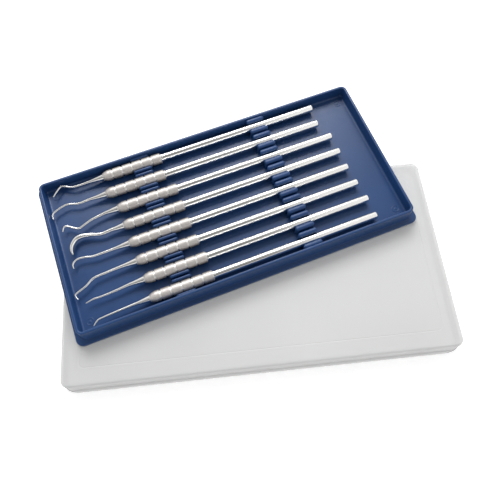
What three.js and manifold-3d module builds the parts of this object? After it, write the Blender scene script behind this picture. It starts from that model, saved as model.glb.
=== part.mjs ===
// Boxed set of eight single-ended dental hand scalers: a moulded tray with two rows of snap clips,
// eight instruments lying side by side in it, and the frosted lid that the tray stands on.
// Millimetres, +Z up. X runs along the instruments, working ends towards -X. Y is across them.
import * as THREE from "three";
import { mergeVertices } from "three/addons/utils/BufferGeometryUtils.js";
import Module from "manifold-3d";

// ---- Driving dimensions -------------------------------------------------------------------------
const GAP = 0.3; // running gap left between pieces that touch
const COUNT = 8; // instruments in the set
const PITCH = 11.5; // spacing of the instruments across the tray

// Instrument. Local x = 0 is the front face of the grip.
const BEADS = 6;
const BEAD_PITCH = 5.95;
const BEAD_RADIUS = 3.2;
const GROOVE_RADIUS = 2.7;
const BEAD_CHAMFER = 0.35;
const LEAD_IN = 1.1; // the first bead's longer chamfer
const FACE_RADIUS = 2.3; // flat front face of the grip
const FACE_LENGTH = 0.25;
const GROOVE_WIDTH = 0.55;
const GRIP_LENGTH = BEADS * BEAD_PITCH;
const BORE_RADIUS = 1.6; // through bore of the grip, takes the tang and the rod's spigot
const TANG_LENGTH = 9;
const COLLAR_RADIUS = 2.55;
const COLLAR_LENGTH = 1.1;
const ROD_RADIUS = 2.2;
const ROD_END_LENGTH = 0.8; // chamfer of the rod's end, along the rod and across it
const ROD_END_DEPTH = 0.5;
const HANDLE_LENGTH = 134; // grip and rod together
const SHANK_ROOT_RADIUS = 1.7;
const SHANK_RADIUS = 1.2; // where the root's taper ends
const SHANK_TAPER = 4.5;
const NOSE = 0.8; // length of the point past the last section, in radii

// Tray, heights measured from its base.
const RIM_LENGTH = 195.2;
const RIM_WIDTH = 93.6;
const RIM_CORNER = 3.5;
const TRAY_WALL = 1.6;
const WALL_DRAFT = 0.5; // how far the outer wall leans out from rim to flange
const FLANGE_REACH = 3.4; // the flange round the foot of the wall, from the rim's outer edge
const FLANGE_CORNER = 4;
const FLANGE_HEIGHT = 2.2;
const FLANGE_HOLLOW = 0.8; // height of the hollow under the flange
const FOOT_WALL = 1.5; // width of the foot under the flange's edge
const FLOOR_UNDERSIDE = 2.9;
const FLOOR_TOP = 4.3;
const ROD_AXIS_HEIGHT = 7.8;
const TRAY_HEIGHT = 11.1;
const FLOOR_FILLET = 1.2;
const FILLET_DRAFT = 0.3; // how far the foot of the inner wall leans in
const EDGE_BREAK = 0.4; // chamfer of moulded edges

// Snap clips: a pair of ribs with a slot between them, standing between two instruments.
const REAR_CLIP = { x: 36, length: 11.6, halfWidth: 3.5, slot: 1.1, hold: ROD_RADIUS, top: 2.7 };
const FRONT_CLIP = { x: -38, length: 11.4, halfWidth: 2.5, slot: 0.9, hold: BEAD_RADIUS, top: 1.8 };
const RIB_ROOT = 0.4; // how far a rib is sunk in the floor
const PLAN_MARGIN = 0.6; // the outline that rounds a rib's ends in plan is this much wider
const PLAN_FLAT = 0.05; // and this much is left flat at its ends
const RIB_CROWN = 1; // height of a rib's rounded crown, above the part that holds the instrument
const CROWN_OUTER = [[0.05, 0.45], [0.5, 0.05]]; // [in from the outer side, down from the top]
const CROWN_INNER = [[0.25, 0.25], [0, 0.8]]; // [out from the slot, down from the top]

// Lid, standing on its open side.
const LID_LENGTH = 214.6;
const LID_WIDTH = 113.6;
const LID_CORNER = 5;
const LID_HEIGHT = 12.6;
const LID_WALL = 1.5;
const LID_DRAFT = 0.5; // how far the wall leans in over its height
const LID_EDGE_RADIUS = 1.4;
const LID_FLANGE = 1.2; // how far the foot steps out past the wall
const LID_FLANGE_HEIGHT = 4.2;
const LID_TURN = THREE.MathUtils.degToRad(-15.4); // the lid lies turned under the tray
const LID_OFFSET = [2.3, -40.5]; // its centre from the tray's centre

// Grip front of each instrument from the tray's rim, and its working end from shank root to point
// as [x, y, radius]: x back from the grip front, y across.
const INSTRUMENTS = [
  {
    front: 36.3,
    end: [[-8.6, 0, 0.78], [-14.8, -0.1, 0.6], [-19.1, 0.5, 0.55], [-23.6, 2.8, 0.52],
      [-25.7, 2.3, 0.5], [-30.2, -2, 0.3]],
  },
  {
    front: 35,
    end: [[-9.1, 0.2, 0.78], [-16.5, 0, 0.6], [-23.1, 1.7, 0.55], [-30.3, -0.4, 0.5],
      [-32.1, -2.4, 0.45], [-32.1, -4.7, 0.28]],
  },
  {
    front: 39,
    end: [[-8.7, -0.1, 0.8], [-16.1, -1.3, 0.62], [-20.9, -3, 0.56], [-24.5, -3.7, 0.53],
      [-29.8, -0.2, 0.5], [-31.7, -0.2, 0.45], [-32.9, -2.5, 0.28]],
  },
  {
    front: 39.1,
    end: [[-6.9, 0.1, 1], [-13.4, -0.2, 0.85], [-18.9, 1.5, 1], [-23.5, 2.4, 1.2], [-26.9, 2, 1.2],
      [-29.9, -0.7, 1.05], [-31.1, -3.7, 0.8], [-30.9, -6.3, 0.35]],
  },
  {
    front: 39,
    end: [[-8.4, 0, 0.8], [-16.2, -0.1, 0.65], [-21, 0, 0.6], [-25.3, 1.1, 0.55], [-29, 1.4, 0.52],
      [-31.3, 0.4, 0.48], [-32.4, -1.2, 0.42], [-32.3, -3.1, 0.25]],
  },
  {
    front: 39.7,
    end: [[-9.6, 0, 0.8], [-17.5, -0.4, 0.65], [-24.4, -1, 0.58], [-29.4, -3.9, 0.52],
      [-35.2, -6.1, 0.48], [-35.9, -7.4, 0.42], [-35, -9.5, 0.25]],
  },
  {
    front: 40.8,
    end: [[-8.8, 0, 0.8], [-16.6, -0.6, 0.6], [-24.5, -0.9, 0.5], [-28.2, -0.7, 0.45],
      [-32.7, -1.5, 0.22]],
  },
  {
    front: 40.6,
    end: [[-8.5, 0, 0.8], [-17.2, -0.3, 0.62], [-27.4, -0.9, 0.52], [-29.7, -1.7, 0.46],
      [-31.6, -3.3, 0.28]],
  },
];

const LEAST_CORNER = 0.6; // radius of inner corners that have no room for more
const LATHE_SIDES = 12;
const SHANK_SIDES = 8;

const wasm = await Module();
wasm.setup();

// ---- Helpers ------------------------------------------------------------------------------------

// A three.js geometry as a manifold-3d solid, and back again.
function solid(geometry) {
  const bare = geometry.clone();
  for (const attribute of ["normal", "uv"]) bare.deleteAttribute(attribute);
  const merged = mergeVertices(bare, 1e-4);
  return new wasm.Manifold(
    new wasm.Mesh({
      numProp: 3,
      vertProperties: merged.attributes.position.array,
      triVerts: new Uint32Array(merged.index.array),
    }),
  );
}

function geometryOf(manifold) {
  const mesh = manifold.getMesh();
  const geometry = new THREE.BufferGeometry();
  geometry.setAttribute("position", new THREE.BufferAttribute(new Float32Array(mesh.vertProperties), 3));
  geometry.setIndex(new THREE.BufferAttribute(new Uint32Array(mesh.triVerts), 1));
  geometry.computeVertexNormals();
  return geometry;
}

// A closed surface through rings of equal point count, capped at both ends by a point.
function skin(rings, first, last) {
  const sides = rings[0].length;
  const points = [first, ...rings.flat(), last];
  const end = points.length - 1;
  const index = [];
  for (let s = 0; s < sides; s++) {
    const t = (s + 1) % sides;
    index.push(0, 1 + s, 1 + t);
    for (let r = 0; r + 1 < rings.length; r++) {
      const a = 1 + r * sides;
      const b = a + sides;
      index.push(a + s, b + s, b + t, a + s, b + t, a + t);
    }
    const a = 1 + (rings.length - 1) * sides;
    index.push(end, a + t, a + s);
  }
  const geometry = new THREE.BufferGeometry();
  geometry.setAttribute("position", new THREE.BufferAttribute(new Float32Array(points.flat()), 3));
  geometry.setIndex(index);
  geometry.computeVertexNormals();
  return geometry;
}

// One level of a rounded rectangle, grown by `offset`, counter-clockwise from above.
function roundedRing(length, width, radius, offset, z, segments = 5) {
  const cx = length / 2 + offset - radius;
  const cy = width / 2 + offset - radius;
  const ring = [];
  for (const [sx, sy, start] of [[1, 1, 0], [-1, 1, 1], [-1, -1, 2], [1, -1, 3]]) {
    for (let i = 0; i <= segments; i++) {
      const angle = ((start + i / segments) * Math.PI) / 2;
      ring.push([sx * cx + radius * Math.cos(angle), sy * cy + radius * Math.sin(angle), z]);
    }
  }
  return ring;
}

// A dish or cover: rounded-rectangle levels [offset, z] from the top centre, over the edge, and
// back along the underside. A level's corner radius grows with its offset, or is its third value.
function dish(length, width, corner, levels) {
  const rings = levels.map(([offset, z, radius = Math.max(LEAST_CORNER, corner + offset)]) =>
    roundedRing(length, width, radius, offset, z),
  );
  return skin(rings, [0, 0, levels[0][1]], [0, 0, levels.at(-1)[1]]);
}

// A body of revolution about X from its [x, radius] profile.
function turned(profile) {
  const geometry = new THREE.LatheGeometry(
    profile.map(([x, radius]) => new THREE.Vector2(radius, x)),
    LATHE_SIDES,
  );
  return geometry.rotateZ(-Math.PI / 2);
}

function mesh(name, geometry, material) {
  const made = new THREE.Mesh(geometry, material.clone());
  made.name = name;
  return made;
}

const steel = new THREE.MeshStandardMaterial({ color: 0xd8d8da, metalness: 1, roughness: 0.2 });
const knurled = new THREE.MeshStandardMaterial({ color: 0xb9b4b0, metalness: 0.8, roughness: 0.55 });
const bluePlastic = new THREE.MeshStandardMaterial({ color: 0x2d4878, roughness: 0.45 });
const frosted = new THREE.MeshStandardMaterial({ color: 0xdcdcdc, roughness: 0.6 });

// ---- Instrument pieces --------------------------------------------------------------------------

// Knurled grip: six beads parted by narrow grooves, bored through.
function grip() {
  const profile = [[0, BORE_RADIUS], [0, FACE_RADIUS]];
  for (let i = 0; i < BEADS; i++) {
    const start = i * BEAD_PITCH + (i ? GROOVE_WIDTH / 2 : FACE_LENGTH);
    const stop = (i + 1) * BEAD_PITCH - (i + 1 < BEADS ? GROOVE_WIDTH / 2 : 0);
    const lead = i ? BEAD_CHAMFER : LEAD_IN;
    if (i) profile.push([start, GROOVE_RADIUS]);
    profile.push([start + lead, BEAD_RADIUS]);
    profile.push([stop - BEAD_CHAMFER, BEAD_RADIUS]);
    profile.push([stop, GROOVE_RADIUS]);
  }
  profile.push([GRIP_LENGTH, BORE_RADIUS]);
  profile.push([0, BORE_RADIUS]);
  return turned(profile);
}

// Smooth rod: spigot in the grip, a collar against it, and a chamfered end.
function rod() {
  const shoulder = GRIP_LENGTH + GAP;
  return turned([
    [GRIP_LENGTH - TANG_LENGTH, 0],
    [GRIP_LENGTH - TANG_LENGTH, BORE_RADIUS - GAP],
    [shoulder, BORE_RADIUS - GAP],
    [shoulder, COLLAR_RADIUS],
    [shoulder + COLLAR_LENGTH, COLLAR_RADIUS],
    [shoulder + COLLAR_LENGTH, ROD_RADIUS],
    [HANDLE_LENGTH - ROD_END_LENGTH, ROD_RADIUS],
    [HANDLE_LENGTH, ROD_RADIUS - ROD_END_DEPTH],
    [HANDLE_LENGTH, 0],
  ]);
}

// Working end: tang in the grip, tapered shank, then the bent end swept along its path.
function workingEnd(end) {
  const stations = [
    [TANG_LENGTH, 0, BORE_RADIUS - GAP],
    [-GAP, 0, BORE_RADIUS - GAP],
    [-GAP, 0, SHANK_ROOT_RADIUS],
    [-SHANK_TAPER, 0, SHANK_RADIUS],
  ];
  const bend = [[-SHANK_TAPER, 0], ...end].map(([x, y]) => new THREE.Vector3(x, y, 0));
  const curve = new THREE.CatmullRomCurve3(bend, false, "centripetal");
  const radii = [SHANK_RADIUS, ...end.map((p) => p[2])];
  const steps = 2;
  for (let i = 0; i < end.length; i++) {
    for (let s = 1; s <= steps; s++) {
      const at = (i + s / steps) / end.length;
      const point = curve.getPoint(at);
      const radius = THREE.MathUtils.lerp(radii[i], radii[i + 1], s / steps);
      stations.push([point.x, point.y, radius, curve.getTangent(at)]);
    }
  }
  const rings = stations.map(([x, y, radius, tangent]) => {
    const along = tangent || new THREE.Vector3(-1, 0, 0);
    const side = [along.y, -along.x];
    return Array.from({ length: SHANK_SIDES }, (_, k) => {
      const angle = (2 * Math.PI * (k + 0.5)) / SHANK_SIDES;
      const across = radius * Math.cos(angle);
      return [x + across * side[0], y + across * side[1], radius * Math.sin(angle)];
    });
  });
  const [x, y, radius, ahead] = stations.at(-1);
  const nose = [x + ahead.x * radius * NOSE, y + ahead.y * radius * NOSE, 0];
  return skin(rings, [TANG_LENGTH, 0, 0], nose);
}

// ---- Tray ---------------------------------------------------------------------------------------

// One rib of a clip in its YZ section, on the +Y side of the slot, heights from the rod axis. Its
// outer side is hollowed round the instrument that it holds, of radius `hold`.
function ribSection({ halfWidth, slot, hold, top }) {
  const clear = hold + GAP;
  const axis = PITCH / 2;
  const reach = Math.sqrt(clear ** 2 - (axis - halfWidth) ** 2);
  const foot = FLOOR_TOP - RIB_ROOT - ROD_AXIS_HEIGHT;
  const points = [[slot / 2, foot], [halfWidth, foot]];
  const steps = 4;
  for (let i = 0; i <= steps; i++) {
    const z = Math.min(-reach + (2 * reach * i) / steps, top - RIB_CROWN);
    const y = axis - Math.sqrt(clear ** 2 - z ** 2);
    if (points.at(-1)[1] < z) points.push([y, z]);
  }
  const edge = points.at(-1)[0];
  for (const [inward, down] of CROWN_OUTER) points.push([edge - inward, top - down]);
  points.push([(edge + slot / 2) / 2, top]);
  for (const [outward, down] of CROWN_INNER) points.push([slot / 2 + outward, top - down]);
  return points.map(([y, z]) => new THREE.Vector2(y, z + ROD_AXIS_HEIGHT));
}

// A rib as a solid: its section drawn out along X, with the ends rounded in plan.
function rib(clip) {
  const section = new THREE.Shape(ribSection(clip));
  const drawn = new THREE.ExtrudeGeometry(section, { depth: clip.length, bevelEnabled: false });
  drawn.applyMatrix4(new THREE.Matrix4().makeBasis(
    new THREE.Vector3(0, 1, 0),
    new THREE.Vector3(0, 0, 1),
    new THREE.Vector3(1, 0, 0),
  ));
  drawn.translate(-clip.length / 2, 0, 0);
  const thickness = clip.halfWidth + PLAN_MARGIN - clip.slot / 2;
  const corner = thickness / 2 - PLAN_FLAT;
  const ring = (z) => roundedRing(clip.length, thickness, corner, 0, z, 3);
  const plan = skin([ring(TRAY_HEIGHT), ring(0)], [0, 0, TRAY_HEIGHT], [0, 0, 0]);
  plan.translate(0, (clip.slot + thickness) / 2 - PLAN_FLAT, 0);
  return solid(drawn).intersect(solid(plan));
}

function tray() {
  const inner = -TRAY_WALL;
  const fillet = (t) => [
    inner - FILLET_DRAFT - FLOOR_FILLET * (1 - Math.cos((t * Math.PI) / 2)),
    FLOOR_TOP + FLOOR_FILLET * (1 - Math.sin((t * Math.PI) / 2)),
  ];
  let body = solid(dish(RIM_LENGTH, RIM_WIDTH, RIM_CORNER, [
    fillet(1),
    fillet(0.5),
    fillet(0),
    [inner, TRAY_HEIGHT - EDGE_BREAK],
    [inner + EDGE_BREAK, TRAY_HEIGHT],
    [-EDGE_BREAK, TRAY_HEIGHT],
    [0, TRAY_HEIGHT - EDGE_BREAK],
    [WALL_DRAFT, FLANGE_HEIGHT],
    [FLANGE_REACH - EDGE_BREAK, FLANGE_HEIGHT, FLANGE_CORNER],
    [FLANGE_REACH, FLANGE_HEIGHT - EDGE_BREAK, FLANGE_CORNER],
    [FLANGE_REACH, 0, FLANGE_CORNER],
    [FLANGE_REACH - FOOT_WALL, 0, FLANGE_CORNER - FOOT_WALL],
    [FLANGE_REACH - FOOT_WALL, FLANGE_HOLLOW, FLANGE_CORNER - FOOT_WALL],
    [-WALL_DRAFT, FLANGE_HOLLOW],
    [-WALL_DRAFT, FLOOR_UNDERSIDE],
  ]));
  const firstAxis = ((COUNT - 1) * PITCH) / 2;
  for (const clip of [REAR_CLIP, FRONT_CLIP]) {
    const upper = rib(clip);
    const lower = upper.mirror([0, 1, 0]);
    for (let i = 0; i <= COUNT; i++) {
      const y = firstAxis + PITCH / 2 - i * PITCH;
      // Outside the first and last instrument only the inner rib of the pair stands.
      if (i > 0) body = body.add(upper.translate([clip.x, y, 0]));
      if (i < COUNT) body = body.add(lower.translate([clip.x, y, 0]));
    }
  }
  return geometryOf(body);
}

// ---- Lid ----------------------------------------------------------------------------------------

function lid() {
  const foot = LID_FLANGE_HEIGHT;
  const edge = (t) => [
    -LID_DRAFT - LID_EDGE_RADIUS + LID_EDGE_RADIUS * Math.sin((t * Math.PI) / 2),
    LID_HEIGHT - LID_EDGE_RADIUS + LID_EDGE_RADIUS * Math.cos((t * Math.PI) / 2),
  ];
  return dish(LID_LENGTH, LID_WIDTH, LID_CORNER, [
    edge(0),
    edge(0.5),
    edge(1),
    [0, foot + EDGE_BREAK],
    [LID_FLANGE - EDGE_BREAK, foot],
    [LID_FLANGE, foot - EDGE_BREAK],
    [LID_FLANGE, 0],
    [LID_FLANGE - LID_WALL, 0],
    [LID_FLANGE - LID_WALL, foot - LID_WALL],
    [-LID_WALL, foot - LID_WALL + EDGE_BREAK],
    [-LID_WALL - LID_DRAFT, LID_HEIGHT - LID_WALL],
  ]);
}

// ---- Assembly -----------------------------------------------------------------------------------

const root = new THREE.Group();
root.name = "hand_scaler_set";

const cover = mesh("lid", lid(), frosted);
cover.rotation.z = LID_TURN;
cover.position.set(LID_OFFSET[0], LID_OFFSET[1], 0);
root.add(cover);

const trayBase = LID_HEIGHT + GAP;
const base = mesh("tray", tray(), bluePlastic);
base.position.z = trayBase;
root.add(base);

const gripShape = grip();
const rodShape = rod();
INSTRUMENTS.forEach(({ front, end }, i) => {
  const number = i + 1;
  const x = front - RIM_LENGTH / 2;
  const y = ((COUNT - 1) / 2 - i) * PITCH;
  const pieces = [
    mesh("tip_" + number, workingEnd(end), steel),
    mesh("grip_" + number, gripShape.clone(), knurled),
    mesh("rod_" + number, rodShape.clone(), steel),
  ];
  for (const piece of pieces) {
    piece.position.set(x, y, trayBase + ROD_AXIS_HEIGHT);
    root.add(piece);
  }
});

// The set's frame is the bottom centre of its bounding box.
const box = new THREE.Box3().setFromObject(root, true);
root.position.set(-(box.min.x + box.max.x) / 2, -(box.min.y + box.max.y) / 2, -box.min.z);
root.updateMatrixWorld(true);

export default root;
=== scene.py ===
"""Looks for a boxed set of eight single-ended hand scalers in a clip tray, standing on its lid.

Lengths are in millimetres until the mesh is made, and places are worked out from the frame's boxes.
"""

import math

import bpy
from mathutils import Matrix, Vector


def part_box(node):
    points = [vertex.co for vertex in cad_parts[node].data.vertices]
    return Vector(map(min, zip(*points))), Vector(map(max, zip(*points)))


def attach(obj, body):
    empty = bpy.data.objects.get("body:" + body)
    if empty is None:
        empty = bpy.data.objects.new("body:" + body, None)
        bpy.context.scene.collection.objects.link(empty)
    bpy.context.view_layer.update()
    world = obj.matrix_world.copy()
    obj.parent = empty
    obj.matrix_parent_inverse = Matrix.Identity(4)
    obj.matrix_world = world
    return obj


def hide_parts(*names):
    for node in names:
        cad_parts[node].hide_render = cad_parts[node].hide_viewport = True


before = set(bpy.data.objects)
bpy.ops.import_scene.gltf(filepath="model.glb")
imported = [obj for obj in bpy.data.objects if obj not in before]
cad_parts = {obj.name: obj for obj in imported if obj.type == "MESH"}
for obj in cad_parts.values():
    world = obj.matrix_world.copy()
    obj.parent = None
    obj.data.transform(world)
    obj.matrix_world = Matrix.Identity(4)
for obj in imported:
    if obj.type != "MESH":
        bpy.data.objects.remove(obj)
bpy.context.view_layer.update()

MM = 0.001
COUNT = 8

# ---- Driving dimensions, in millimetres ----------------------------------------------------------
BEADS = 6
BEAD_PITCH = 5.95
BEAD_RADIUS = 3.2
GROOVE_RADIUS = 2.5
GROOVE_WIDTH = 0.45
CHAMFER = 0.24  # at both ends of a bead
KNURL_HALF_PITCH = 0.26  # between neighbouring peaks and valleys
KNURL_DEPTH = 0.13
NOSE = [(0.0, 1.95), (0.25, 2.25), (1.5, 2.75)]  # the grip's cone-shaped front, as (x, radius)
NOSE_LENGTH = 2.9
GRIP_END_RADIUS = 2.3
GRIP_END_LENGTH = 0.1
COLLAR_RADIUS = 2.45
COLLAR_START = 0.05  # behind the grip
COLLAR_LENGTH = 0.7
COLLAR_EDGE = 0.15
COLLAR_TAPER = 0.25
ROD_RADIUS = 2.2
ROD_END_ROUND = 0.55
ROD_END_FACE = 0.8
HANDLE_LENGTH = 134.0
GRIP_LENGTH = BEADS * BEAD_PITCH
GAP = 0.3  # between an instrument and the ribs that hold it

PITCH = 11.5  # spacing of the instruments across the tray
LEAST_CORNER = 0.6
RIM_CORNER = 3.5
TRAY_WALL = 1.6
WALL_DRAFT = 0.5
FLANGE_REACH = 3.4
FLANGE_CORNER = 4.0
FLANGE_HEIGHT = 2.2
FLANGE_HOLLOW = 0.8
FOOT_WALL = 1.5
FLOOR_UNDERSIDE = 2.9
FLOOR_TOP = 4.3
ROD_AXIS_HEIGHT = 7.8
TRAY_HEIGHT = 11.1
FLOOR_FILLET = 1.2
FILLET_DRAFT = 0.3  # how far the foot of the inner wall leans in
RIM_ROUND = 0.5
FLANGE_ROUND = 0.5
FOOT_ROUND = 0.25  # under the flange and under the lid's foot
FOOT_EDGE = 0.2
UNDERSIDE_LEAN = 0.4  # how far the hollow under the floor narrows towards it
RIB_ROOT = 0.4  # how far a rib is sunk in the floor
RIB_CROWN = 1.1
RIB_INSET = 0.2  # how far a rib's ends lean in above its foot
REAR_CLIP = dict(x=36.0, length=11.6, half_width=3.5, slot=1.1, hold=ROD_RADIUS, top=2.7)
FRONT_CLIP = dict(x=-38.0, length=11.4, half_width=2.5, slot=0.9, hold=BEAD_RADIUS, top=1.8)
MARK_INSET = (6.9, 7.2)  # ejector marks from the rim, along X and Y
MARK_RADIUS = 2.2

LID_LENGTH = 214.6
LID_WIDTH = 113.6
LID_CORNER = 5.0
LID_HEIGHT = 12.6
LID_WALL = 1.5
LID_DRAFT = 0.5
LID_EDGE_RADIUS = 1.4
LID_FLANGE = 1.2
LID_FLANGE_CORNER = 8.0
LID_FLANGE_HEIGHT = 4.2
LID_FLANGE_ROUND = 0.4
LID_INNER_ROUND = 0.6
LID_LINE = dict(inset=9.5, corner=3.0, width=0.5, depth=0.1)  # the fine line round the top
LID_TURN = math.radians(-15.4)

SHANK_ROOT = [0.5, 0, 2.0]  # inside the grip's nose, as [x, y, radius]
SHANK_NECK = [-4.5, 0, 1.25]
SPAN_STEPS = 10
END_FULLNESS = 1.12  # how much fuller than the frame's the slim part of each working end is
FULL_FROM = 20  # the step from which it is that much fuller
FLATTEN_FROM = 0.55  # how far along an end begins to flatten
FLATTENING = 0.25
# Working ends, as [back from the grip front, across, radius].
WORKING_ENDS = [
    [[-8.6, 0, 0.78], [-14.8, -0.1, 0.6], [-19.1, 0.5, 0.55], [-23.6, 2.8, 0.52],
     [-25.7, 2.3, 0.5], [-30.2, -2, 0.3]],
    [[-9.1, 0.2, 0.78], [-16.5, 0, 0.6], [-23.1, 1.7, 0.55], [-30.3, -0.4, 0.5],
     [-32.1, -2.4, 0.45], [-32.1, -4.7, 0.28]],
    [[-8.7, -0.1, 0.8], [-16.1, -1.3, 0.62], [-20.9, -3, 0.56], [-24.5, -3.7, 0.53],
     [-29.8, -0.2, 0.5], [-31.7, -0.2, 0.45], [-32.9, -2.5, 0.28]],
    [[-6.9, 0.1, 1], [-13.4, -0.2, 0.85], [-18.9, 1.5, 1], [-23.5, 2.4, 1.2], [-26.9, 2, 1.2],
     [-29.9, -0.7, 1.05], [-31.1, -3.7, 0.8], [-30.9, -6.3, 0.35]],
    [[-8.4, 0, 0.8], [-16.2, -0.1, 0.65], [-21, 0, 0.6], [-25.3, 1.1, 0.55], [-29, 1.4, 0.52],
     [-31.3, 0.4, 0.48], [-32.4, -1.2, 0.42], [-32.3, -3.1, 0.25]],
    [[-9.6, 0, 0.8], [-17.5, -0.4, 0.65], [-24.4, -1, 0.58], [-29.4, -3.9, 0.52],
     [-35.2, -6.1, 0.48], [-35.9, -7.4, 0.42], [-35, -9.5, 0.25]],
    [[-8.8, 0, 0.8], [-16.6, -0.6, 0.6], [-24.5, -0.9, 0.5], [-28.2, -0.7, 0.45],
     [-32.7, -1.5, 0.22]],
    [[-8.5, 0, 0.8], [-17.2, -0.3, 0.62], [-27.4, -0.9, 0.52], [-29.7, -1.7, 0.46],
     [-31.6, -3.3, 0.28]],
]

tray_low, tray_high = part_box("tray")
TRAY_CENTRE = (tray_low + tray_high) / 2
TRAY_BASE = tray_low.z
lid_low, lid_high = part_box("lid")
LID_CENTRE = (lid_low + lid_high) / 2
RIM_LENGTH = (tray_high.x - tray_low.x) / MM - 2 * FLANGE_REACH
RIM_WIDTH = (tray_high.y - tray_low.y) / MM - 2 * FLANGE_REACH


# ---- Mesh helpers --------------------------------------------------------------------------------
def new_piece(name, vertices, faces, materials, face_material=None, flat=(), sharp=35):
    """A mesh object. Faces whose material index is in `flat` are shaded flat, the rest smooth."""
    mesh = bpy.data.meshes.new(name)
    mesh.from_pydata([tuple(v) for v in vertices], [], faces)
    for material in materials:
        mesh.materials.append(material)
    for i, polygon in enumerate(mesh.polygons):
        index = face_material[i] if face_material else 0
        polygon.material_index = index
        polygon.use_smooth = index not in flat
    mesh.validate()
    mesh.set_sharp_from_angle(angle=math.radians(sharp))
    piece = bpy.data.objects.new(name, mesh)
    bpy.context.scene.collection.objects.link(piece)
    return piece


def skin(rings, start=0):
    """Vertices and faces of a closed surface through rings of equal count, capped flat at both ends."""
    sides = len(rings[0])
    vertices = [point for ring in rings for point in ring]
    faces = [[start + s for s in range(sides)]]
    for r in range(len(rings) - 1):
        a = start + r * sides
        b = a + sides
        for s in range(sides):
            t = (s + 1) % sides
            faces.append([a + s, b + s, b + t, a + t])
    last = start + (len(rings) - 1) * sides
    faces.append([last + s for s in reversed(range(sides))])
    return vertices, faces


def rounded_ring(length, width, radius, offset, z, segments=14):
    """One level of a rounded rectangle grown by `offset`, counter-clockwise from above."""
    cx = length / 2 + offset - radius
    cy = width / 2 + offset - radius
    ring = []
    for sx, sy, quarter in ((1, 1, 0), (-1, 1, 1), (-1, -1, 2), (1, -1, 3)):
        for i in range(segments + 1):
            angle = (quarter + i / segments) * math.pi / 2
            ring.append((sx * cx + radius * math.cos(angle), sy * cy + radius * math.sin(angle), z))
    return ring


def arc(centre, radius, start, stop, steps):
    """Points of an arc in the section plane, angles in degrees from the outward direction."""
    points = []
    for i in range(steps + 1):
        angle = math.radians(start + (stop - start) * i / steps)
        points.append((centre[0] + radius * math.cos(angle), centre[1] + radius * math.sin(angle)))
    return points


def placed(points, origin, turn=0.0):
    """Points in millimetres, turned about Z and moved to a place in metres."""
    spin = Matrix.Rotation(turn, 3, "Z")
    return [spin @ (Vector(p) * MM) + origin for p in points]


# ---- Materials -----------------------------------------------------------------------------------
class Shader:
    """A node material round one Principled shader."""

    def __init__(self, name, colour, roughness, metallic=0.0, **sockets):
        self.material = bpy.data.materials.new(name)
        self.material.use_nodes = True
        self.nodes = self.material.node_tree.nodes
        self.links = self.material.node_tree.links
        self.principled = self.nodes["Principled BSDF"]
        self.set("Base Color", (*colour, 1))
        self.set("Roughness", roughness)
        self.set("Metallic", metallic)
        for socket, value in sockets.items():
            self.set(socket.replace("_", " "), value)
        self.place = self.nodes.new("ShaderNodeTexCoord").outputs["Object"]

    def set(self, socket, value):
        self.principled.inputs[socket].default_value = value

    def noise(self, scale, detail=3.0, stretch=(1, 1, 1), roughness=0.55):
        """Noise over the piece, `scale` in features per metre."""
        mapping = self.nodes.new("ShaderNodeMapping")
        mapping.inputs["Scale"].default_value = stretch
        self.links.new(self.place, mapping.inputs["Vector"])
        texture = self.nodes.new("ShaderNodeTexNoise")
        texture.inputs["Scale"].default_value = scale
        texture.inputs["Detail"].default_value = detail
        texture.inputs["Roughness"].default_value = roughness
        self.links.new(mapping.outputs["Vector"], texture.inputs["Vector"])
        return texture.outputs["Fac"]

    def remap(self, value, low, high, start=0.3, stop=0.7):
        node = self.nodes.new("ShaderNodeMapRange")
        node.inputs["From Min"].default_value = start
        node.inputs["From Max"].default_value = stop
        node.inputs["To Min"].default_value = low
        node.inputs["To Max"].default_value = high
        self.links.new(value, node.inputs["Value"])
        return node.outputs["Result"]

    def vary_roughness(self, value, low, high):
        self.links.new(self.remap(value, low, high), self.principled.inputs["Roughness"])

    def vary_colour(self, value, first, second, start=0.35, stop=0.65):
        ramp = self.nodes.new("ShaderNodeValToRGB")
        ramp.color_ramp.elements[0].position = start
        ramp.color_ramp.elements[0].color = (*first, 1)
        ramp.color_ramp.elements[1].position = stop
        ramp.color_ramp.elements[1].color = (*second, 1)
        self.links.new(value, ramp.inputs["Fac"])
        self.links.new(ramp.outputs["Color"], self.principled.inputs["Base Color"])

    def bump(self, value, distance, strength=1.0):
        node = self.nodes.new("ShaderNodeBump")
        node.inputs["Distance"].default_value = distance
        node.inputs["Strength"].default_value = strength
        self.links.new(value, node.inputs["Height"])
        self.links.new(node.outputs["Normal"], self.principled.inputs["Normal"])


class Maths:
    """Math nodes written as calls."""

    def __init__(self, tree):
        self.nodes, self.links = tree.nodes, tree.links

    def __call__(self, operation, *values):
        node = self.nodes.new("ShaderNodeMath")
        node.operation = operation
        for socket, value in zip(node.inputs, values):
            self.feed(socket, value)
        return node.outputs["Value"]

    def feed(self, socket, value):
        if isinstance(value, (int, float)):
            socket.default_value = value
        else:
            self.links.new(value, socket)

    def ramp(self, value, low, high, stops):
        """A piecewise-linear run of `stops` (value, result) between `low` and `high`."""
        spread = self.nodes.new("ShaderNodeMapRange")
        spread.inputs["From Min"].default_value = low
        spread.inputs["From Max"].default_value = high
        self.links.new(value, spread.inputs["Value"])
        node = self.nodes.new("ShaderNodeValToRGB")
        self.links.new(spread.outputs["Result"], node.inputs["Fac"])
        elements = node.color_ramp.elements
        while len(elements) < len(stops):
            elements.new(1.0)
        for element, (place, result) in zip(elements, stops):
            element.position = (place - low) / (high - low)
            element.color = (result, result, result, 1)
        return node.outputs["Color"]


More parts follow.
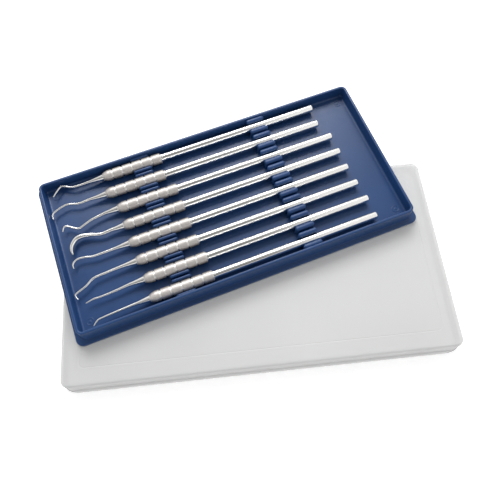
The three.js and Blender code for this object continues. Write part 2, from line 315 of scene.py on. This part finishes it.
def polished_steel():
    made = Shader("polished_steel", (0.86, 0.855, 0.84), 0.16, metallic=1.0)
    drawn = made.noise(900, detail=4, stretch=(0.05, 1, 1))
    made.vary_roughness(drawn, 0.13, 0.2)
    made.vary_colour(made.noise(60, stretch=(0.4, 1, 1)), (0.82, 0.81, 0.79), (0.89, 0.885, 0.87))
    made.bump(drawn, 0.000006)
    return made.material


def knurled_steel():
    """Fine knurling: speckled, with painted shade that darkens the colour where the grip is seen at a
    slant.
    """
    made = Shader("knurled_steel", (0.5, 0.47, 0.45), 0.5, metallic=0.5)
    grain = made.noise(1700, detail=2)
    made.vary_roughness(grain, 0.4, 0.58)
    made.bump(grain, 0.0001, 0.8)
    # Painted shade: the base colour darkens towards grazing view to stand in for the knurl's own shadowing
    # at the grip's edges. The grain adds real speckle on top.
    facing = made.nodes.new("ShaderNodeLayerWeight").outputs["Facing"]
    maths = Maths(made.material.node_tree)
    shade = maths("ADD", facing, maths("MULTIPLY", maths("SUBTRACT", grain, 0.4), 0.7))
    made.vary_colour(shade, (0.58, 0.545, 0.52), (0.05, 0.05, 0.05), 0.2, 1.0)
    return made.material


def groove_steel():
    made = Shader("groove_steel", (0.86, 0.85, 0.83), 0.35, metallic=0.7)
    made.vary_roughness(made.noise(1200), 0.3, 0.42)
    return made.material


def blue_plastic():
    made = Shader("blue_plastic", (0.012, 0.047, 0.15), 0.35)
    made.set("Specular IOR Level", 0.35)
    cloud = made.noise(28, detail=2)
    made.vary_colour(cloud, (0.0105, 0.041, 0.131), (0.0125, 0.049, 0.153))
    made.vary_roughness(made.noise(240, detail=3), 0.31, 0.39)
    made.bump(made.noise(1500, detail=2), 0.00003, 0.5)
    return made.material


def frosted_plastic():
    made = Shader("frosted_plastic", (0.62, 0.62, 0.62), 0.45, Alpha=0.66)
    made.set("Specular IOR Level", 0.35)
    cloud = made.noise(14, detail=2)
    made.vary_colour(cloud, (0.605, 0.605, 0.605), (0.635, 0.635, 0.635))
    made.vary_roughness(made.noise(300, detail=3), 0.38, 0.52)
    made.bump(made.noise(1200, detail=3), 0.00004, 0.6)
    return made.material


STEEL = polished_steel()
KNURL = knurled_steel()
GROOVE = groove_steel()
BLUE = blue_plastic()
FROST = frosted_plastic()


# ---- Tray ----------------------------------------------------------------------------------------
def dish(name, length, width, corner, levels, material, origin, turn=0.0):
    """A tray or cover through its levels (offset, z), the corner radius growing with the offset.
    A level's third value is a corner radius of its own."""
    rings = []
    for offset, z, *own in levels:
        radius = own[0] if own else max(LEAST_CORNER, corner + offset)
        rings.append(rounded_ring(length, width, radius, offset, z))
    vertices, faces = skin(rings)
    return new_piece(name, placed(vertices, origin, turn), faces, [material])


def tray_shell():
    """Floor, fillet, wall and the flange round its foot as one moulding."""
    foot = -TRAY_WALL - FILLET_DRAFT
    edge = FLANGE_ROUND
    levels = [(foot - 2 * FLOOR_FILLET, FLOOR_TOP)]
    levels += arc((foot - FLOOR_FILLET, FLOOR_TOP + FLOOR_FILLET), FLOOR_FILLET, -90, 0, 7)
    levels += arc((-TRAY_WALL + RIM_ROUND, TRAY_HEIGHT - RIM_ROUND), RIM_ROUND, 180, 90, 4)
    levels += arc((-RIM_ROUND, TRAY_HEIGHT - RIM_ROUND), RIM_ROUND, 90, 0, 4)
    levels += arc((WALL_DRAFT + edge, FLANGE_HEIGHT + edge), edge, 180, 270, 3)
    rounded = arc((FLANGE_REACH - edge, FLANGE_HEIGHT - edge), edge, 90, 0, 4)
    rounded += arc((FLANGE_REACH - FOOT_ROUND, FOOT_ROUND), FOOT_ROUND, 0, -90, 3)
    levels += [(offset, z, FLANGE_CORNER) for offset, z in rounded]
    inner = FLANGE_REACH - FOOT_WALL
    levels += [(offset, z, FLANGE_CORNER - FOOT_WALL) for offset, z in (
        (inner + FOOT_EDGE, 0),
        (inner, FOOT_EDGE),
        (inner, FLANGE_HOLLOW),
    )]
    levels += [(-WALL_DRAFT, FLANGE_HOLLOW), (-WALL_DRAFT - UNDERSIDE_LEAN, FLOOR_UNDERSIDE)]
    origin = Vector((TRAY_CENTRE.x, TRAY_CENTRE.y, TRAY_BASE))
    shell = dish("tray_shell", RIM_LENGTH, RIM_WIDTH, RIM_CORNER, levels, BLUE, origin)
    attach(shell, "tray")
    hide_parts("tray")


def rib_levels(clip):
    """Levels of one rib as (height above the tray's base, inner y, outer y, end inset)."""
    clear = clip["hold"] + GAP
    axis = PITCH / 2
    inner = clip["slot"] / 2
    levels = [(FLOOR_TOP - RIB_ROOT, inner, clip["half_width"] + 0.3, 0.0)]
    levels.append((FLOOR_TOP + 0.1, inner, clip["half_width"] + 0.2, 0.0))
    levels.append((FLOOR_TOP + 0.5, inner, clip["half_width"], 0.15))
    reach = math.sqrt(clear ** 2 - (axis - clip["half_width"]) ** 2)
    round_start = clip["top"] - RIB_CROWN
    for i in range(9):
        z = -reach + 2 * reach * i / 8
        if z < round_start:
            outer = min(clip["half_width"], axis - math.sqrt(clear ** 2 - z ** 2))
            levels.append((ROD_AXIS_HEIGHT + z, inner, outer, RIB_INSET))
    outer = levels[-1][2] if round_start < reach else clip["half_width"]
    half = (outer - inner) / 2
    for i in range(6):
        angle = math.radians(15 * i)
        shrink = 1 - math.cos(angle)
        height = ROD_AXIS_HEIGHT + round_start + RIB_CROWN * math.sin(angle)
        inset = RIB_INSET + RIB_CROWN * shrink
        levels.append((height, inner + half * shrink, outer - half * shrink, inset))
    return levels


def rib_rings(clip, centre_y, side):
    rings = []
    for z, inner, outer, inset in rib_levels(clip):
        thickness = outer - inner
        radius = thickness / 2 - 0.01
        ring = rounded_ring(clip["length"] - 2 * inset, thickness, radius, 0, z, segments=6)
        middle = (inner + outer) / 2
        rings.append([(clip["x"] + x, centre_y + side * middle + y, height) for x, y, height in ring])
    return rings[::-1]


def clip_ribs(name, clip):
    """A row of snap clips: paired ribs between the instruments, single ones outside the last."""
    vertices, faces = [], []
    first = COUNT * PITCH / 2
    for i in range(COUNT + 1):
        for side in (1, -1):
            if (side > 0 and i == 0) or (side < 0 and i == COUNT):
                continue
            points, quads = skin(rib_rings(clip, first - i * PITCH, side), start=len(vertices))
            vertices += points
            faces += quads
    origin = Vector((TRAY_CENTRE.x, TRAY_CENTRE.y, TRAY_BASE))
    ribs = new_piece(name, placed(vertices, origin), faces, [BLUE])
    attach(ribs, "tray")


def turned_rings(profile, sides):
    """Rings of a body of revolution about Z from (radius, z), top first."""
    rings = []
    for radius, z in profile:
        rings.append([
            (radius * math.cos(2 * math.pi * k / sides), radius * math.sin(2 * math.pi * k / sides), z)
            for k in range(sides)
        ])
    return rings


def ejector_marks():
    """Low round marks in the floor's corners, each a ring with a small pip."""
    profile = [(0.45, 0.12), (0.6, 0.1), (0.7, 0.03), (1.6, 0.03), (1.72, 0.12), (1.85, 0.15),
               (2.0, 0.15), (2.12, 0.1), (MARK_RADIUS, -0.2)]
    inset_x, inset_y = MARK_INSET
    number = 0
    for sx in (-1, 1):
        for sy in (-1, 1):
            number += 1
            vertices, faces = skin(turned_rings(profile, 40))
            origin = Vector((
                TRAY_CENTRE.x + sx * (RIM_LENGTH / 2 - inset_x) * MM,
                TRAY_CENTRE.y + sy * (RIM_WIDTH / 2 - inset_y) * MM,
                TRAY_BASE + FLOOR_TOP * MM,
            ))
            mark = new_piece(f"ejector_mark_{number}", placed(vertices, origin), faces, [BLUE])
            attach(mark, "tray")


# ---- Lid -----------------------------------------------------------------------------------------
def lid_cover():
    """Flat top with a rounded edge, leaning wall and stepped-out foot."""
    edge = LID_EDGE_RADIUS
    foot = LID_FLANGE_HEIGHT
    line = -LID_DRAFT - LID_LINE["inset"]
    half = LID_LINE["width"] / 2
    levels = [(line + step, LID_HEIGHT - drop, LID_LINE["corner"]) for step, drop in (
        (-2 * half, 0),
        (-half, 0),
        (0, LID_LINE["depth"]),
        (half, 0),
        (2 * half, 0),
    )]
    levels.append((-LID_DRAFT - edge - 2 * half, LID_HEIGHT))
    levels += arc((-LID_DRAFT - edge, LID_HEIGHT - edge), edge, 90, 0, 8)
    bend = LID_FLANGE_ROUND
    levels += arc((bend, foot + bend), bend, 180, 270, 4)
    flange = arc((LID_FLANGE - bend, foot - bend), bend, 90, 0, 4)
    flange += arc((LID_FLANGE - FOOT_ROUND, FOOT_ROUND), FOOT_ROUND, 0, -90, 3)
    levels += [(offset, z, LID_FLANGE_CORNER) for offset, z in flange]
    inner = LID_FLANGE - LID_WALL
    levels += [(inner + FOOT_EDGE, 0), (inner, FOOT_EDGE), (inner, foot - LID_WALL)]
    levels += [(-LID_WALL, foot - LID_WALL + bend)]
    fillet = LID_INNER_ROUND
    middle = (-LID_WALL - LID_DRAFT - fillet, LID_HEIGHT - LID_WALL - fillet)
    levels += arc(middle, fillet, 0, 90, 4)
    origin = Vector((LID_CENTRE.x, LID_CENTRE.y, 0))
    cover = dish("lid_cover", LID_LENGTH, LID_WIDTH, LID_CORNER, levels, FROST, origin, LID_TURN)
    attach(cover, "lid")
    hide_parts("lid")


# ---- Instruments ---------------------------------------------------------------------------------
def wheel(x, radius, sides, ripple=0.0, phase=0):
    """A ring about the X axis. `ripple` lifts every other point, for the knurl."""
    ring = []
    for k in range(sides):
        angle = -2 * math.pi * k / sides
        lift = ripple if (k + phase) % 2 else 0.0
        ring.append((x, (radius + lift) * math.cos(angle), (radius + lift) * math.sin(angle)))
    return ring


def grip_mesh():
    """Rings of the knurled grip, and which of them bound knurled faces."""
    sides = 2 * round(math.pi * BEAD_RADIUS / KNURL_HALF_PITCH)
    root = BEAD_RADIUS - KNURL_DEPTH
    rings = [wheel(x, radius, sides) for x, radius in NOSE]
    knurled = [False, True]
    for i in range(BEADS):
        stop = (i + 1) * BEAD_PITCH - (GROOVE_WIDTH / 2 if i + 1 < BEADS else GRIP_END_LENGTH)
        first, last = NOSE_LENGTH, stop - CHAMFER
        if i:
            start = i * BEAD_PITCH + GROOVE_WIDTH / 2
            first = start + CHAMFER
            rings.append(wheel(start, GROOVE_RADIUS, sides))
            knurled.append(False)
        rings.append(wheel(first, root, sides))
        knurled.append(i == 0)
        count = max(4, round((last - first) / KNURL_HALF_PITCH))
        for j in range(1, count):
            x = first + (last - first) * j / count
            rings.append(wheel(x, root, sides, ripple=KNURL_DEPTH, phase=j))
            knurled.append(True)
        rings.append(wheel(last, root, sides))
        knurled.append(True)
        rings.append(wheel(stop, GROOVE_RADIUS, sides))
        knurled.append(False)
    rings.append(wheel(GRIP_LENGTH, GRIP_END_RADIUS, sides))
    knurled.append(False)
    return rings, knurled


def grips():
    rings, knurled = grip_mesh()
    vertices, faces = skin(rings)
    sides = len(rings[0])
    face_material = [1] + [0 if knurl else 1 for knurl in knurled for _ in range(sides)] + [1]
    for number in range(1, COUNT + 1):
        low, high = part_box(f"grip_{number}")
        origin = Vector((low.x, (low.y + high.y) / 2, (low.z + high.z) / 2))
        points = placed(vertices, origin)
        grip = new_piece(f"scaler_{number}_grip", points, faces, [KNURL, GROOVE], face_material, flat=(0,))
        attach(grip, f"scaler_{number}")
        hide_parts(f"grip_{number}")


def rods():
    start = GRIP_LENGTH + COLLAR_START
    stop = start + COLLAR_LENGTH
    profile = [(start, ROD_RADIUS), (start, COLLAR_RADIUS - COLLAR_EDGE)]
    profile += [(start + COLLAR_EDGE, COLLAR_RADIUS)]
    profile += [(stop, COLLAR_RADIUS), (stop + COLLAR_TAPER, ROD_RADIUS)]
    for i in range(7):
        angle = math.radians(15 * i)
        profile.append((
            HANDLE_LENGTH - ROD_END_ROUND + ROD_END_ROUND * math.sin(angle),
            ROD_RADIUS - ROD_END_ROUND + ROD_END_ROUND * math.cos(angle),
        ))
    profile.append((HANDLE_LENGTH, ROD_END_FACE))
    vertices, faces = skin([wheel(x, radius, 56) for x, radius in profile])
    for number in range(1, COUNT + 1):
        low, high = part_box(f"grip_{number}")
        origin = Vector((low.x, (low.y + high.y) / 2, (low.z + high.z) / 2))
        rod = new_piece(f"scaler_{number}_rod", placed(vertices, origin), faces, [STEEL])
        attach(rod, f"scaler_{number}")
        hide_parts(f"rod_{number}")


def catmull(points, steps):
    """A smooth run of points through `points`, `steps` to a span."""
    padded = [points[0]] + points + [points[-1]]
    made = []
    for i in range(1, len(padded) - 2):
        a, b, c, d = (Vector(p) for p in padded[i - 1 : i + 3])
        for s in range(steps):
            t = s / steps
            made.append(0.5 * (
                2 * b + (c - a) * t + (2 * a - 5 * b + 4 * c - d) * t ** 2
                + (3 * b - a - 3 * c + d) * t ** 3
            ))
    made.append(Vector(points[-1]))
    return made


def working_ends():
    sides = 20
    for number, end in enumerate(WORKING_ENDS, 1):
        path = catmull([SHANK_ROOT, SHANK_NECK] + end, SPAN_STEPS)
        rings = []
        for i, (x, y, radius) in enumerate(path):
            radius *= 1 + (END_FULLNESS - 1) * min(1.0, i / FULL_FROM)
            before = path[max(0, i - 1)]
            after = path[min(len(path) - 1, i + 1)]
            along = Vector((after.x - before.x, after.y - before.y)).normalized()
            reach = i / (len(path) - 1)
            flatten = 1 - FLATTENING * max(0.0, reach - FLATTEN_FROM) / (1 - FLATTEN_FROM)
            rings.append((x, y, radius, along, radius * flatten))
        x, y, radius, along, thick = rings[-1]
        for turn in (35, 65, 85):
            ahead = math.sin(math.radians(turn)) * radius
            shrink = math.cos(math.radians(turn))
            nose_x, nose_y = x + along.x * ahead, y + along.y * ahead
            rings.append((nose_x, nose_y, radius * shrink, along, thick * shrink))
        loops = []
        for x, y, radius, along, thick in rings:
            loop = []
            for k in range(sides):
                angle = 2 * math.pi * k / sides
                across = radius * math.cos(angle)
                loop.append((x + across * along.y, y - across * along.x, thick * math.sin(angle)))
            loops.append(loop)
        vertices, faces = skin(loops)
        low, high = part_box(f"grip_{number}")
        origin = Vector((low.x, (low.y + high.y) / 2, (low.z + high.z) / 2))
        tip = new_piece(f"scaler_{number}_tip", placed(vertices, origin), faces, [STEEL])
        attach(tip, f"scaler_{number}")
        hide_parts(f"tip_{number}")


# ---- Stage, light and camera ---------------------------------------------------------------------
CAMERA_PLACE = (-29.7, -118.8, 240.4)  # from the tray's middle at the height of the rods' axes
CAMERA_TARGET = (2.48, -33.9, 0)
CAMERA_ROLL = math.radians(-0.62)
CAMERA_LENS = 33.47
TENT = [(-3, 0.9), (-1.8, 0.42), (-1.05, 0.42), (-0.92, 0.02), (-0.62, 0.02), (-0.5, 0.4),
        (0, 0.42), (0.4, 0.5), (0.6, 0.8), (1.7, 0.8), (3, 0.5)]  # brightness against y over z


def floor():
    mesh = bpy.data.meshes.new("floor")
    half = 1.5
    corners = [(-half, -half, 0), (half, -half, 0), (half, half, 0), (-half, half, 0)]
    mesh.from_pydata(corners, [], [(0, 1, 2, 3)])
    plane = bpy.data.objects.new("floor", mesh)
    white = Shader("floor_white", (0.9, 0.9, 0.9), 0.9)
    white.set("Specular IOR Level", 0.0)
    white.set("Emission Color", (1, 1, 1, 1))
    white.set("Emission Strength", 0.45)
    mesh.materials.append(white.material)
    bpy.context.scene.collection.objects.link(plane)


def area_light(name, place, target, size, power):
    light = bpy.data.lights.new(name, "AREA")
    light.shape = "RECTANGLE"
    light.size, light.size_y = size
    light.energy = power
    lamp = bpy.data.objects.new(name, light)
    lamp.location = place
    lamp.rotation_euler = (Vector(target) - Vector(place)).to_track_quat("-Z", "Y").to_euler()
    bpy.context.scene.collection.objects.link(lamp)


def studio_world():
    """A soft tent, brightest on the far side and white round the horizon. On the near side it has
    one dark gap along X, which the polished rods mirror as a dark line, and towards +X it is white."""
    world = bpy.data.worlds.new("studio")
    bpy.context.scene.world = world
    world.use_nodes = True
    maths = Maths(world.node_tree)
    nodes, links = maths.nodes, maths.links
    coordinate = nodes.new("ShaderNodeTexCoord")
    split = nodes.new("ShaderNodeSeparateXYZ")
    links.new(coordinate.outputs["Generated"], split.inputs["Vector"])
    x, y, z = split.outputs
    lean = maths("DIVIDE", y, maths("MAXIMUM", z, 0.001))
    section = maths.ramp(lean, -3.0, 3.0, TENT)
    side = maths.ramp(x, -1.0, 1.0, [(-1, 0), (0.2, 0), (0.4, 1), (1, 1)])
    low = maths.ramp(z, -1.0, 1.0, [(-1, 1), (0.44, 1), (0.54, 0), (1, 0)])
    white = maths("MAXIMUM", side, low)
    level = maths("ADD", white, maths("MULTIPLY", section, maths("SUBTRACT", 1.0, white)))
    links.new(level, nodes["Background"].inputs["Color"])


def camera():
    """Looks down from the near side, turned so that the instruments run up to the right."""
    axis_height = TRAY_BASE + ROD_AXIS_HEIGHT * MM
    middle = Vector((TRAY_CENTRE.x, TRAY_CENTRE.y, axis_height))
    place = middle + Vector(CAMERA_PLACE) * MM
    target = middle + Vector(CAMERA_TARGET) * MM
    forward = (target - place).normalized()
    right = forward.cross(Vector((0, 0, 1))).normalized()
    up = right.cross(forward)
    cosine, sine = math.cos(CAMERA_ROLL), math.sin(CAMERA_ROLL)
    right, up = right * cosine + up * sine, up * cosine - right * sine
    data = bpy.data.cameras.new("camera")
    data.sensor_width = 36
    data.lens = CAMERA_LENS
    data.clip_start = 0.01
    view = bpy.data.objects.new("camera", data)
    view.matrix_world = Matrix((
        (right.x, up.x, -forward.x, place.x),
        (right.y, up.y, -forward.y, place.y),
        (right.z, up.z, -forward.z, place.z),
        (0, 0, 0, 1),
    ))
    bpy.context.scene.collection.objects.link(view)
    bpy.context.scene.camera = view


tray_shell()
clip_ribs("clip_ribs_rear", REAR_CLIP)
clip_ribs("clip_ribs_front", FRONT_CLIP)
ejector_marks()
lid_cover()
grips()
rods()
working_ends()

floor()
studio_world()
area_light("key", (0.1, 0.58, 0.62), (0, 0, 0), (0.6, 0.36), 6.6)
camera()
bpy.context.scene.view_settings.view_transform = "Standard"
